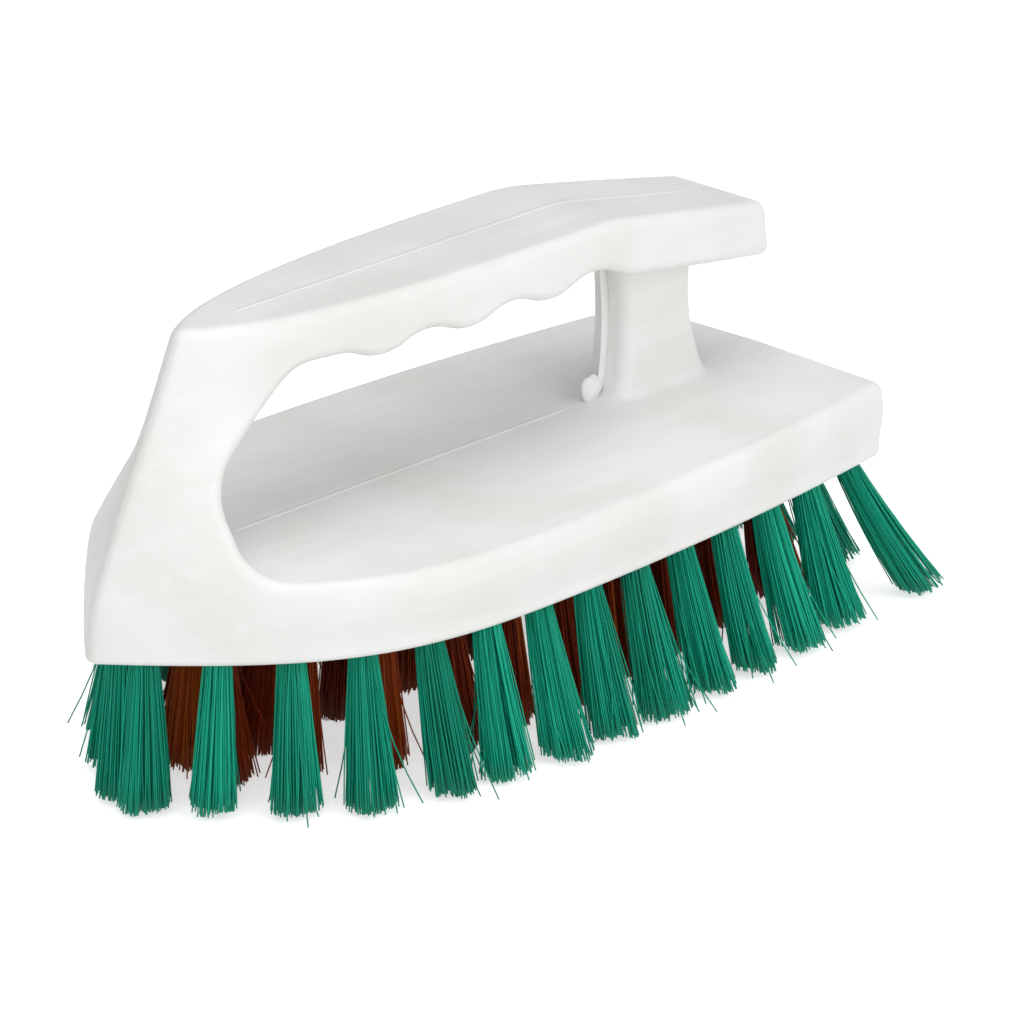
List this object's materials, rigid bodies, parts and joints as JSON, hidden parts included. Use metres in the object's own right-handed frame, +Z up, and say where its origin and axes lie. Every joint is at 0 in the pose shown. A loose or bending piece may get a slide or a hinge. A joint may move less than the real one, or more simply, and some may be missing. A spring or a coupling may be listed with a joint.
{
  "type": "scrub brush",
  "caption": "Iron-shaped hand scrub brush: white moulded block with a closed finger grip over it, and splayed green and brown bristle tufts stapled into its underside.",
  "frame": {"origin": "centre of the overall box in plan, on the plane of the trimmed bristle ends", "axes": "+Z up from the bristle ends to the handle, -X towards the pointed nose, +X to the square rear"},
  "size_m": [0.1599, 0.079, 0.0744],
  "materials": {
    "body_plastic": "satin",
    "bristle_green": "satin",
    "bristle_brown": "satin",
    "staple_steel": "bright"
  },
  "bodies": {
    "root": {"brush_body": "body_plastic", "anchor_staples": "staple_steel", "tuft_outer_01": "bristle_green", "tuft_outer_02": "bristle_green", "tuft_outer_03": "bristle_green", "tuft_outer_04": "bristle_green", "tuft_outer_05": "bristle_green", "tuft_outer_06": "bristle_green", "tuft_outer_07": "bristle_green", "tuft_outer_08": "bristle_green", "tuft_outer_09": "bristle_green", "tuft_outer_10": "bristle_green", "tuft_outer_11": "bristle_green", "tuft_outer_12": "bristle_green", "tuft_outer_13": "bristle_green", "tuft_outer_14": "bristle_green", "tuft_outer_15": "bristle_green", "tuft_outer_16": "bristle_green", "tuft_outer_17": "bristle_green", "tuft_outer_18": "bristle_green", "tuft_outer_19": "bristle_green", "tuft_outer_20": "bristle_green", "tuft_outer_21": "bristle_green", "tuft_outer_22": "bristle_green", "tuft_outer_23": "bristle_green", "tuft_outer_24": "bristle_green", "tuft_outer_25": "bristle_green", "tuft_outer_26": "bristle_green", "tuft_outer_27": "bristle_green", "tuft_outer_28": "bristle_green", "tuft_outer_29": "bristle_green", "tuft_outer_30": "bristle_green", "tuft_outer_31": "bristle_green", "tuft_inner_01": "bristle_brown", "tuft_inner_02": "bristle_brown", "tuft_inner_03": "bristle_brown", "tuft_inner_04": "bristle_brown", "tuft_inner_05": "bristle_brown", "tuft_inner_06": "bristle_brown", "tuft_inner_07": "bristle_brown", "tuft_inner_08": "bristle_brown", "tuft_inner_09": "bristle_brown", "tuft_inner_10": "bristle_brown", "tuft_inner_11": "bristle_brown", "tuft_inner_12": "bristle_brown", "tuft_inner_13": "bristle_brown", "tuft_inner_14": "bristle_brown", "tuft_inner_15": "bristle_brown", "tuft_inner_16": "bristle_brown", "tuft_inner_17": "bristle_brown", "tuft_inner_18": "bristle_brown", "tuft_inner_19": "bristle_brown", "tuft_inner_20": "bristle_brown", "tuft_inner_21": "bristle_brown", "tuft_centre_01": "bristle_brown", "tuft_centre_02": "bristle_brown", "tuft_centre_03": "bristle_brown", "tuft_centre_04": "bristle_brown", "tuft_centre_05": "bristle_brown", "tuft_centre_06": "bristle_brown"}
  },
  "joints": []
}
